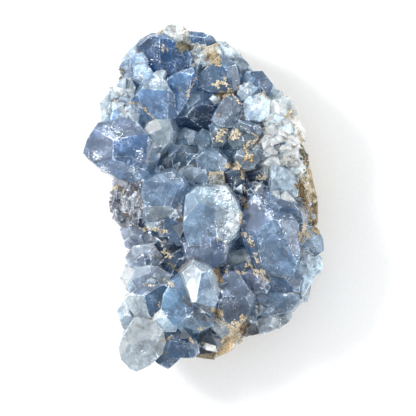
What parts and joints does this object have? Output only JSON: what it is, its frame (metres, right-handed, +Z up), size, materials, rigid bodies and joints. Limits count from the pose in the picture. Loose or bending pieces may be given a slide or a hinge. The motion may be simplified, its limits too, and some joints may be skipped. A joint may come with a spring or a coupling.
{
  "type": "celestite cluster",
  "caption": "Celestite cluster: clear pale to deep blue crystals grown together over tan host rock, lying crystals up on a small flat spot.",
  "frame": {"origin": "under the middle of the specimen's box, on the surface that it lies on", "axes": "+Y along the long side, towards the narrower end, +X across, +Z up out of the crystals"},
  "size_m": [0.0696, 0.1, 0.0421],
  "materials": {
    "celestite": "glossy crystal faces, clear at the tips and milky below",
    "host_rock": "rough, matt"
  },
  "bodies": {
    "root": {"crystal_druse": "celestite", "host_rock": "host_rock"}
  },
  "joints": []
}
